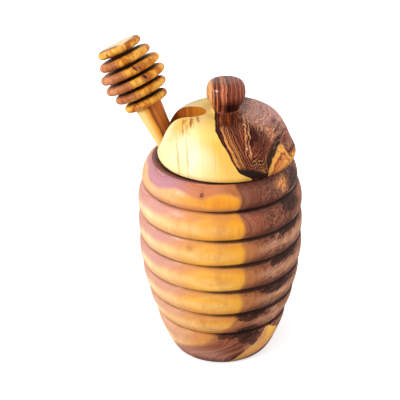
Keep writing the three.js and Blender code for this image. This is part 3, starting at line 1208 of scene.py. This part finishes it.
@dataclass(frozen=True)
class DipperWood(OiledWood):
    """Yellow sapwood with a red-brown flank that runs down the head and the handle.

    Facing is the cosine and the sine of the turn between the dipper's own X axis and the picture's left.
    """

    yellow: str = "d68f2c"
    pale: str = "f0d8b4"
    brown: str = "9c5a2c"
    red: str = "94502f"
    dark: str = "5e2f18"
    black: str = "160a07"
    facing: tuple[float, float] = (0.894, 0.448)
    crack_spots: tuple[Spot, ...] = ((3.6, 45.9, 0.4, 1.6), (5.4, 45.4, 0.3, 0.9), (2.8, 40.2, 0.5, 0.9))
    burn_spots: tuple[Spot, ...] = ((4.6, 45.8, 1.8, 1.8), (3.0, 40.2, 1.6, 1.3))
    place: Matrix = field(default_factory=Matrix)

    def where(self, s: Sheet) -> Socket:
        """Gives the coordinates along the dipper's own axis.

        Args:
            s: The material's sheet.

        Returns:
            The coordinates, in metres.
        """
        location, rotation, _ = self.place.decompose()
        inputs = {"Vector": super().where(s), "Location": location, "Rotation": rotation.to_euler()}
        return s.put("ShaderNodeMapping", inputs, vector_type="TEXTURE").outputs[0]

    def colour(self, g: Ground) -> Socket:
        """Works out the wood's colour.

        Args:
            g: What the colour is worked out from.

        Returns:
            The colour.
        """
        s = g.s
        cosine, sine = self.facing
        right = g.x * -cosine - g.y * sine
        front = g.y * cosine - g.x * sine
        level = ((right - 18.0) * (right - 18.0) + g.y * g.y).root()
        band, line = g.figure(level, 1.2, 0.35)
        blotch = s.noise(g.squeezed(0.6), 0.17, 4.0, 0.6, 0.5)
        on_handle = g.z.rise(27.5, 26.0)
        contrast = 1.0 - on_handle * 0.75
        colour = s.paint(
            tint(self.yellow),
            (blotch.rise(0.5, 0.4) * contrast * 0.6, "f0ba56"),
            (blotch.rise(0.48, 0.56) * contrast * 0.85, "ac5c16"),
            (band.rise(0.5, 0.62) * contrast * 0.3, "eebc62"),
            (blotch.rise(0.55, 0.6) * right.rise(9.0, 5.0) * contrast * 0.6, self.red),
            (line * contrast * 0.4, "84441e"),
            (on_handle * right.rise(-0.5, -4.0) * 0.6, "f2da9a"),
        )
        ragged = right + s.sway(g.squeezed(0.4), 0.12, 1.0) + (blotch - 0.5) * 14.0 + (g.z - 44.0) * 0.12
        left = ragged.rise(-1.0, -3.5) * g.z.between(31.0, 34.0, 52.5, 57.0)
        red = s.paint(
            tint(self.red),
            (band.rise(0.46, 0.62) * 0.6, "b87450"),
            (line * 0.6, self.dark),
            # Painted highlight on the left ends of the rings.
            (right.rise(-6.0, -11.0) * g.tone.rise(0.4, 0.55) * 0.6, "cf8e6c"),
        )
        colour = s.mix(left * 0.9, colour, red)
        brown = s.paint(tint("7e4220"), (right.rise(0.2, 2.5), "bc6a2a"), (line * 0.4, self.dark))
        flank = (right + s.sway(g.point, 0.1, 0.3)).rise(-0.5, 0.3) * on_handle
        slant = s.join(right + (g.z - 46.0) * 0.6, g.z, 0.0)
        cracks = g.patches(slant, self.crack_spots, 0.7, 0.7)
        burn = g.patches(slant, self.burn_spots, 0.9, 0.4)
        colour = s.paint(s.mix(flank, colour, brown), (burn * 0.55, self.red), (cracks, self.black))
        _, rings = g.figure(level, 2.0, 0.2)
        crescent = (g.radius + right * 0.3).rise(10.5, 11.2)
        stain = g.patches(s.join(right, front, 0.0), ((-5.0, 6.5, 5.5, 2.2),), 0.6, 0.3)
        corner = (front * 0.8 - right * 0.75 + (blotch - 0.5) * 8.0).rise(4.5, 6.5)
        pale = s.paint(
            tint(self.pale),
            (rings * 0.35, "cf9a55"),
            (crescent * 0.8, self.brown),
            (corner * 0.9, "74411a"),
            (stain * 0.7, "b8764a"),
        )
        return s.mix(g.z.rise(57.9, 58.2), colour, pale)


# Shapes


def directions(heading: float) -> tuple[Vector, Vector]:
    """Gives the directions along a heading in degrees and to its right."""
    turn = math.radians(heading)
    return Vector((math.cos(turn), math.sin(turn))), Vector((math.sin(turn), -math.cos(turn)))


def arc(
    centre: tuple[float, float], reach: tuple[float, float], sweep: tuple[float, float], steps: int
) -> Outline:
    """Draws points along a part of an ellipse.

    Args:
        centre: Radius and height of its middle.
        reach: Half its width and half its height.
        sweep: The angles at its ends in degrees, 0 outwards and 90 upwards.
        steps: Pieces of the line.

    Returns:
        The points, with both ends.
    """
    turns = [math.radians(sweep[0] + (sweep[1] - sweep[0]) * k / steps) for k in range(steps + 1)]
    return [(centre[0] + reach[0] * math.cos(t), centre[1] + reach[1] * math.sin(t)) for t in turns]


def smooth_through(points: Outline, steps: int) -> Outline:
    """Draws a smooth line through points.

    Args:
        points: The points that it passes.
        steps: Pieces between each two points.

    Returns:
        The finer line, with the same ends.
    """
    line: Outline = []
    for i in range(len(points) - 1):
        before = Vector(points[max(0, i - 1)])
        start, end = Vector(points[i]), Vector(points[i + 1])
        after = Vector(points[min(len(points) - 1, i + 2)])
        for k in range(steps):
            t = k / steps
            at = start * 2 + (end - before) * t + (before * 2 - start * 5 + end * 4 - after) * t**2
            at += (start * 3 - before - end * 3 + after) * t**3
            line.append((max(0.0, at.x / 2), at.y / 2))
    line.append(points[-1])
    return line


def rounded(corners: list[Place], steps: int) -> Outline:
    """Rounds the corners of an outline.

    Args:
        corners: Radius, height and rounding of each corner.
        steps: Pieces of each rounding.

    Returns:
        The outline with its corners rounded.
    """
    most_of_side = 0.49
    line: Outline = []
    for i, (radius, height, ease) in enumerate(corners):
        here = Vector((radius, height))
        if ease <= 0 or i in (0, len(corners) - 1):
            line.append((radius, height))
            continue
        back = Vector(corners[i - 1][:2]) - here
        on = Vector(corners[i + 1][:2]) - here
        start = here + back.normalized() * min(ease, back.length * most_of_side)
        end = here + on.normalized() * min(ease, on.length * most_of_side)
        for k in range(steps + 1):
            t = k / steps
            at = start * (1 - t) ** 2 + here * 2 * t * (1 - t) + end * t**2
            line.append((at.x, at.y))
    return line


def turn_mesh(name: str, outline: Outline, facets: int, traces: dict[Trace, list[float]]) -> bpy.types.Mesh:
    """Turns an outline about Z.

    Args:
        name: The mesh's name.
        outline: Radius and height of each point in millimetres, from the axis below to the axis above.
        facets: Faces round the axis.
        traces: Values that the points of the outline carry.

    Returns:
        The closed mesh in metres.
    """
    on_axis = 1e-6
    vertices: list[Place] = []
    rows: list[list[int]] = []
    for radius, height in outline:
        count = facets if radius > on_axis else 1
        rows.append(list(range(len(vertices), len(vertices) + count)))
        for k in range(count):
            angle = 2 * math.pi * k / facets
            vertices.append((radius * MM * math.cos(angle), radius * MM * math.sin(angle), height * MM))
    faces: list[tuple[int, ...]] = []
    for low, high in zip(rows, rows[1:]):
        for k in range(facets):
            m = (k + 1) % facets
            if len(low) == 1:
                faces.append((low[0], high[m], high[k]))
            elif len(high) == 1:
                faces.append((low[k], low[m], high[0]))
            else:
                faces.append((low[k], low[m], high[m], high[k]))
    mesh = bpy.data.meshes.new(name)
    mesh.from_pydata(vertices, [], faces)
    for trace, values in traces.items():
        spread = [value for value, row in zip(values, rows) for _ in row]
        mesh.attributes.new(trace.value, "FLOAT", "POINT").data.foreach_set("value", spread)
    return mesh


def shade(mesh: bpy.types.Mesh, sharp_degrees: float) -> None:
    """Smooths a mesh except at edges sharper than an angle."""
    mesh.shade_smooth()
    mesh.set_sharp_from_angle(angle=math.radians(sharp_degrees))


def add_object(name: str, data: bpy.types.ID) -> bpy.types.Object:
    """Puts a new object in the scene.

    Args:
        name: The object's name.
        data: Its mesh, lamp or camera.

    Returns:
        The new object.
    """
    made = bpy.data.objects.new(name, data)
    bpy.context.scene.collection.objects.link(made)
    return made


def add_piece(mesh: bpy.types.Mesh, material: bpy.types.Material) -> bpy.types.Object:
    """Puts a mesh with its material in the scene, under the mesh's name."""
    mesh.materials.append(material)
    return add_object(mesh.name, mesh)


def seat(piece: bpy.types.Object, body: Body) -> bpy.types.Object:
    """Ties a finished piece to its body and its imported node.

    Args:
        piece: The piece, already in place.
        body: The body that it rides, named as the node that it replaces.

    Returns:
        The same piece.
    """
    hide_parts(body.value)
    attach(piece, body.value)
    return piece


def crease_depths(outline: Outline, creases: Outline, reach: float) -> list[float]:
    """Measures how near each point of an outline is to a crease.

    Args:
        outline: The outline.
        creases: Radius and height of each crease.
        reach: How far a crease's shade reaches, in millimetres.

    Returns:
        For each point, 1 in a crease, falling to 0 at the reach.
    """
    return [max(0.0, 1.0 - min(math.dist(point, crease) for crease in creases) / reach) for point in outline]


@dataclass
class Jar:
    """The turned jar with its seven bands, flat rim, straight bore and round bowl.

    The bottoms of its bands are shares of its height, and its grooves and bulges are shares of its radius.
    The inside share is past every band's top and marks the rim's end grain and the inside for the wood.
    """

    height: float = 103.7
    radius: float = 39.98
    band_bottoms: tuple[float, ...] = (0.0, 0.217, 0.346, 0.484, 0.621, 0.749, 0.884, 1.0)
    groove_radii: tuple[float, ...] = (0.548, 0.778, 0.885, 0.947, 0.962, 0.953, 0.905, 0.808)
    bulges: tuple[float, ...] = (0.075, 0.045, 0.04, 0.043, 0.042, 0.06, 0.062)
    foot_fullness: float = 2.7
    foot_skew: float = 0.8
    rim_width: float = 3.9
    rim_gap: float = 0.12
    mouth_easing: float = 0.5
    floor: float = 9.5
    crease_reach: float = 2.3
    inside_share: float = 1.2
    facets: int = 192
    band_steps: int = 26
    rim_steps: int = 6
    mouth_steps: int = 5
    bore_steps: int = 12
    bowl_steps: int = 24
    sharp_degrees: float = 40.0

    def outside(self) -> tuple[Outline, list[float]]:
        """Draws the outside from the edge of the base up to the rim.

        Returns:
            The outline, and how far up its band each point is.
        """
        line: Outline = []
        shares: list[float] = []
        last = len(self.bulges) - 1
        for i, bulge in enumerate(self.bulges):
            fullness = self.foot_fullness if i == 0 else 2.0
            skew = self.foot_skew if i == 0 else 1.0
            for k in range(self.band_steps + (1 if i == last else 0)):
                t = (1 - math.cos(math.pi * k / self.band_steps)) / 2
                lift = max(0.0, 1 - abs(2 * t**skew - 1) ** fullness) ** (1 / fullness)
                inner = self.groove_radii[i] * (1 - t) + self.groove_radii[i + 1] * t
                level = self.band_bottoms[i] * (1 - t) + self.band_bottoms[i + 1] * t
                line.append((self.radius * (inner + bulge * lift), self.height * level))
                shares.append(t)
        return line, shares

    def inside(self) -> Outline:
        """Draws the rim's top, the bore and the bowl down to the middle of the floor.

        Returns:
            The outline.
        """
        mouth = self.radius * self.groove_radii[-1] - self.rim_width
        top = self.floor + mouth
        ease = self.mouth_easing
        edge = self.height - ease
        line: Outline = [(mouth + self.rim_width - self.rim_gap, self.height)]
        for k in range(self.rim_steps - 1, 1, -1):
            line.append((mouth + self.rim_width * k / self.rim_steps, self.height))
        line += arc((mouth + ease, edge), (ease, ease), (90.0, 180.0), self.mouth_steps)
        for k in range(1, self.bore_steps):
            line.append((mouth, edge - (edge - top) * k / self.bore_steps))
        line += arc((0.0, top), (mouth, mouth), (0.0, -90.0), self.bowl_steps)[:-1]
        line.append((0.0, self.floor))
        return line

    def build(self, effects: WoodEffects) -> bpy.types.Object:
        """Builds and dresses the jar.

        Args:
            effects: The shared effects.

        Returns:
            The jar.
        """
        outer, shares = self.outside()
        inner = self.inside()
        outline = [(0.0, 0.0), *outer, *inner]
        inner_grooves = zip(self.groove_radii[1:-1], self.band_bottoms[1:-1])
        grooves = [(self.radius * r, self.height * b) for r, b in inner_grooves]
        traces = {
            Trace.SHARE: [0.0, *shares] + [self.inside_share] * len(inner),
            Trace.CREASE: crease_depths(outline, grooves, self.crease_reach),
        }
        mesh = turn_mesh("jar_turned", outline, self.facets, traces)
        shade(mesh, self.sharp_degrees)
        return seat(add_piece(mesh, JarWood("jar_olive").make(effects)), Body.JAR)


@dataclass
class Lid:
    """The loose lid with its spigot, knob and open notch, in its own frame with the seat at 0.

    Its edge and dome are shares of its radius and height, and the knob's line is in shares of the knob's.
    """

    shift: float = 3.4
    seat_height: float = 104.0
    radius: float = 32.92
    height: float = 23.0
    edge: Line = ((0.93, 0.0), (0.963, 0.013), (0.988, 0.048))
    dome: Line = (
        (1.0, 0.13),
        (0.954, 0.283),
        (0.912, 0.422),
        (0.872, 0.561),
        (0.824, 0.691),
        (0.763, 0.817),
        (0.687, 0.904),
        (0.59, 0.965),
        (0.486, 0.991),
        (0.383, 1.0),
        (0.28, 0.991),
    )
    knob_radius: float = 9.2
    knob_height: float = 15.0
    knob: Line = (
        (0.75, 0.02),
        (0.707, 0.127),
        (0.815, 0.253),
        (0.935, 0.373),
        (0.99, 0.493),
        (1.0, 0.613),
        (0.978, 0.733),
        (0.924, 0.86),
        (0.804, 0.945),
        (0.52, 0.99),
        (0.0, 1.0),
    )
    spigot_radius: float = 24.72
    spigot_depth: float = 7.0
    spigot_easing: float = 0.8
    notch_radius: float = 5.7
    notch_inner: float = 10.2
    heading: float = 156.0
    sidestep: float = -5.9
    crease_reach: float = 1.8
    facets: int = 256
    notch_steps: int = 40
    spigot_steps: int = 4
    line_steps: int = 6
    sharp_degrees: float = 35.0

    def outline(self) -> Outline:
        """Draws the lid from under the spigot up to the knob's top.

        Returns:
            The outline.
        """
        spigot = [
            (0.0, -self.spigot_depth, 0.0),
            (self.spigot_radius, -self.spigot_depth, self.spigot_easing),
            (self.spigot_radius, 0.0, 0.0),
            (self.radius * self.edge[0][0], 0.0, 0.0),
        ]
        side = [(self.radius * r, self.height * h) for r, h in self.edge + self.dome]
        knob = [(self.knob_radius * r, self.height + self.knob_height * h) for r, h in self.knob]
        return rounded(spigot, self.spigot_steps)[:-1] + smooth_through([*side, *knob], self.line_steps)

    def notch_start(self) -> Vector:
        """Gives the centre of the notch's round end, in the lid's frame."""
        along, across = directions(self.heading)
        return along * self.notch_inner + across * self.sidestep - Vector((self.shift, 0.0))

    def notch(self) -> bpy.types.Mesh:
        """Builds the solid that cuts the notch.

        Returns:
            Its mesh, in the lid's frame.
        """
        along, across = directions(self.heading)
        start, half = self.notch_start(), self.notch_radius
        far = along * self.radius * 2
        ring = [start + far - across * half]
        for k in range(self.notch_steps + 1):
            angle = math.pi * k / self.notch_steps
            ring.append(start - along * half * math.sin(angle) - across * half * math.cos(angle))
        ring.append(start + far + across * half)
        low, high = -self.spigot_depth * 2, self.height + self.knob_height
        count = len(ring)
        vertices = [(p.x * MM, p.y * MM, z * MM) for z in (low, high) for p in ring]
        faces: list[tuple[int, ...]] = [tuple(range(count - 1, -1, -1)), tuple(range(count, 2 * count))]
        faces += [(k, (k + 1) % count, (k + 1) % count + count, k + count) for k in range(count)]
        mesh = bpy.data.meshes.new("notch_cutter")
        mesh.from_pydata(vertices, [], faces)
        return mesh

    def cut(self, lid: bpy.types.Object) -> None:
        """Cuts the notch out of the turned lid.

        Args:
            lid: The lid, at the scene's origin.
        """
        cutter = add_object("notch_cutter", self.notch())
        cut = lid.modifiers.new("notch", "BOOLEAN")
        cut.operation = "DIFFERENCE"
        cut.solver = "EXACT"
        cut.object = cutter
        bpy.context.view_layer.update()
        done = bpy.data.meshes.new_from_object(lid.evaluated_get(bpy.context.evaluated_depsgraph_get()))
        lid.modifiers.clear()
        lid.data = done
        bpy.data.objects.remove(cutter)

    def build(self, effects: WoodEffects) -> bpy.types.Object:
        """Builds, cuts and dresses the lid.

        Args:
            effects: The shared effects.

        Returns:
            The lid.
        """
        outline = self.outline()
        # Painted shade darkens the lid's lower edge, where it sits on the rim.
        crease = (self.radius * self.edge[0][0], 0.0)
        traces = {Trace.CREASE: crease_depths(outline, [crease], self.crease_reach)}
        start = self.notch_start()
        wood = LidWood(
            "lid_olive",
            fineness=1.3,
            notch=(start.x, start.y),
            notch_heading=self.heading,
            notch_radius=self.notch_radius,
        )
        lid = add_piece(turn_mesh("lid_turned", outline, self.facets, traces), wood.make(effects))
        self.cut(lid)
        shade(lid.data, self.sharp_degrees)
        lid.matrix_world = Matrix.Translation(Vector((self.shift, 0.0, self.seat_height)) * MM)
        return seat(lid, Body.LID)


@dataclass
class Dipper:
    """The turned dipper, drawn along its own axis, with 0 where the axis crosses the rim's plane.

    Its rings are shares of the head's radius. The handle's swell tells how far towards the head a point is
    and how thick the handle is there, as shares too.
    """

    heading: float = 156.0
    lean: float = 27.3
    reach: float = 22.0
    sidestep: float = -5.9
    rim_height: float = 103.7
    handle_radius: float = 4.95
    end_radius: float = 4.6
    end_centre: float = -88.2
    head_start: float = 28.4
    head_radius: float = 15.2
    ring_pitch: float = 5.6
    ring_thickness: float = 4.0
    ring_easing: float = 2.4
    ring_shares: tuple[float, ...] = (0.72, 0.86, 1.0, 1.0, 0.86, 0.72)
    handle_swell: Line = ((0.07, 1.0), (0.39, 1.07), (0.63, 1.17), (0.85, 1.29))
    core_share: float = 0.52
    # The crease share sets how far the painted shade between the rings reaches, as a share of the head's
    # radius.
    crease_share: float = 0.48
    facets: int = 128
    end_steps: int = 8
    handle_steps: int = 12
    ring_steps: int = 12
    sharp_degrees: float = 40.0

    def outline(self) -> tuple[Outline, Outline]:
        """Draws the dipper from the handle's end up to the head's flat top.

        Returns:
            The outline and the bottoms of its grooves.
        """
        end = arc((0.0, self.end_centre), (self.end_radius, self.end_radius), (-90.0, 0.0), self.end_steps)
        handle = [(self.handle_radius * r, self.head_start * a) for a, r in self.handle_swell]
        line = end[:-1] + smooth_through([end[-1], *handle], self.handle_steps)
        grooves: Outline = []
        last = len(self.ring_shares) - 1
        half = self.ring_thickness / 2
        for i, share in enumerate(self.ring_shares):
            middle = self.head_start + i * self.ring_pitch
            core_below = self.head_radius * self.core_share * min(share, self.ring_shares[max(0, i - 1)])
            core_above = self.head_radius * self.core_share * min(share, self.ring_shares[min(last, i + 1)])
            line.append((core_below if i else line[-1][0], middle - half))
            inner = self.head_radius * share - self.ring_easing
            line += arc((inner, middle), (self.ring_easing, half), (-90.0, 90.0), self.ring_steps)
            line.append((core_above if i < last else 0.0, middle + half))
            if i:
                grooves.append((core_below, middle - self.ring_pitch / 2))
        return line, grooves

    def frame(self) -> Matrix:
        """Finds the place of the dipper's axis in the part.

        Returns:
            The matrix from the dipper's own frame to the part's.
        """
        heading = math.radians(self.heading)
        x = self.reach * math.cos(heading) + self.sidestep * math.sin(heading)
        y = self.reach * math.sin(heading) - self.sidestep * math.cos(heading)
        spin = Matrix.Rotation(heading, 4, "Z") @ Matrix.Rotation(math.radians(self.lean), 4, "Y")
        return Matrix.Translation(Vector((x, y, self.rim_height)) * MM) @ spin

    def build(self, effects: WoodEffects) -> bpy.types.Object:
        """Builds and dresses the dipper.

        Args:
            effects: The shared effects.

        Returns:
            The dipper.
        """
        outline, grooves = self.outline()
        traces = {Trace.CREASE: crease_depths(outline, grooves, self.head_radius * self.crease_share)}
        mesh = turn_mesh("dipper_turned", outline, self.facets, traces)
        mesh.transform(self.frame())
        shade(mesh, self.sharp_degrees)
        wood = DipperWood("dipper_olive", fineness=2.0, place=self.frame())
        return seat(add_piece(mesh, wood.make(effects)), Body.DIPPER)


# Studio


@dataclass(frozen=True)
class Lamp:
    """A square lamp that faces the pot.

    Its place and its side are in millimetres and its power is in watts. Shows tells whether it is mirrored
    in the wood.
    """

    name: str
    place: Place
    side: float
    power: float
    shows: bool = False

    def add(self, aim_height: float) -> None:
        """Puts the lamp in the scene.

        Args:
            aim_height: The height on the pot's axis that it faces, in millimetres.
        """
        data = bpy.data.lights.new(self.name, "AREA")
        data.energy = self.power
        data.size = self.side * MM
        lamp = add_object(self.name, data)
        lamp.visible_glossy = self.shows
        lamp.location = Vector(self.place) * MM
        aim = Vector((0.0, 0.0, aim_height)) * MM - lamp.location
        lamp.rotation_euler = aim.to_track_quat("-Z", "Y").to_euler()


@dataclass
class Studio:
    """The floor, the lamps, the surroundings and the camera."""

    camera_target: Place = (-9.77, 0.0, 79.65)
    camera_distance: float = 577.8
    camera_elevation: float = 27.108
    camera_roll: float = -1.247
    focal_length: float = 106.67
    sensor_width: float = 36.0
    floor_size: float = 6000.0
    floor_drop: float = 0.2
    floor_colour: str = "e8e8e8"
    bounce_colour: str = "a8a29c"
    glow_reach: tuple[float, float] = (150.0, 600.0)
    glow_near: float = 0.5
    glow_gain: float = 0.6
    room_strength: float = 0.5
    aim_height: float = 70.0
    lamps: tuple[Lamp, ...] = (
        Lamp("window", (-780.0, -460.0, 300.0), 240.0, 7.0, shows=True),
        Lamp("left_side", (-900.0, 160.0, 220.0), 500.0, 4.0),
        Lamp("right_side", (820.0, 140.0, 200.0), 500.0, 4.5),
        Lamp("front", (420.0, -620.0, 220.0), 500.0, 2.0),
        Lamp("top", (-60.0, -220.0, 800.0), 400.0, 1.5),
    )

    def add_camera(self) -> None:
        """Places the camera as the photograph was taken."""
        tilt = math.radians(self.camera_elevation)
        roll = math.radians(self.camera_roll)
        forward = Vector((0.0, math.cos(tilt), -math.sin(tilt)))
        level = Vector((1.0, 0.0, 0.0))
        upright = Vector((0.0, math.sin(tilt), math.cos(tilt)))
        right = level * math.cos(roll) + upright * math.sin(roll)
        up = upright * math.cos(roll) - level * math.sin(roll)
        turn = Matrix((right, up, -forward)).transposed().to_4x4()
        place = Vector(self.camera_target) - forward * self.camera_distance
        data = bpy.data.cameras.new("photo_camera")
        data.lens = self.focal_length
        data.sensor_width = self.sensor_width
        camera = add_object("photo_camera", data)
        camera.matrix_world = Matrix.Translation(place * MM) @ turn
        bpy.context.scene.camera = camera

    def add_floor(self) -> None:
        """Adds the pale floor, which keeps the pot's shadow and glows away from it."""
        half = self.floor_size / 2 * MM
        mesh = bpy.data.meshes.new("floor")
        corners = [(x * half, y * half, 0.0) for x, y in ((-1, -1), (1, -1), (1, 1), (-1, 1))]
        mesh.from_pydata(corners, [], [(0, 1, 2, 3)])
        material = bpy.data.materials.new("floor_paper")
        s = empty_sheet(material)
        seen = s.put("ShaderNodeLightPath").outputs["Is Camera Ray"]
        colour = s.mix(seen, tint(self.bounce_colour), tint(self.floor_colour))
        paper = s.put("ShaderNodeBsdfDiffuse", {"Color": colour})
        away = s.length(s.put("ShaderNodeTexCoord").outputs["Object"])
        near, far = self.glow_reach
        strength = away.rise(near * MM, far * MM) * self.glow_gain + self.glow_near
        glow = s.put("ShaderNodeEmission", {"Color": WHITE, "Strength": strength})
        glowing = s.put("ShaderNodeAddShader", {0: paper.outputs[0], 1: glow.outputs[0]})
        both = s.put("ShaderNodeMixShader", {0: seen, 1: paper.outputs[0], 2: glowing.outputs[0]})
        s.put("ShaderNodeOutputMaterial", {"Surface": both.outputs[0]})
        floor = add_piece(mesh, material)
        floor.location.z = -self.floor_drop * MM

    def add_room(self) -> None:
        """Surrounds the pot with soft white light on a white background."""
        world = bpy.data.worlds.new("white_room")
        bpy.context.scene.world = world
        s = empty_sheet(world)
        path = s.results(s.put("ShaderNodeLightPath"))
        direct = path["Is Camera Ray"].most(path["Is Transmission Ray"]).most(path["Is Glossy Ray"])
        soft = s.put("ShaderNodeBackground", {"Color": WHITE, "Strength": self.room_strength})
        white = s.put("ShaderNodeBackground", {"Color": WHITE, "Strength": 1.0})
        both = s.put("ShaderNodeMixShader", {0: direct, 1: soft.outputs[0], 2: white.outputs[0]})
        s.put("ShaderNodeOutputWorld", {"Surface": both.outputs[0]})

    def build(self) -> None:
        """Sets up the whole studio."""
        self.add_camera()
        self.add_floor()
        self.add_room()
        for lamp in self.lamps:
            lamp.add(self.aim_height)
        bpy.context.scene.view_settings.view_transform = "Standard"


def main() -> None:
    """Builds the studio and the three pieces."""
    logging.basicConfig(level=logging.INFO, format="%(message)s")
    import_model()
    Studio().build()
    effects = WoodEffects()
    for piece in (Jar(), Lid(), Dipper()):
        made = piece.build(effects)
        LOG.info("%s: %d faces", made.name, len(made.data.polygons))


if __name__ == "__main__":
    main()
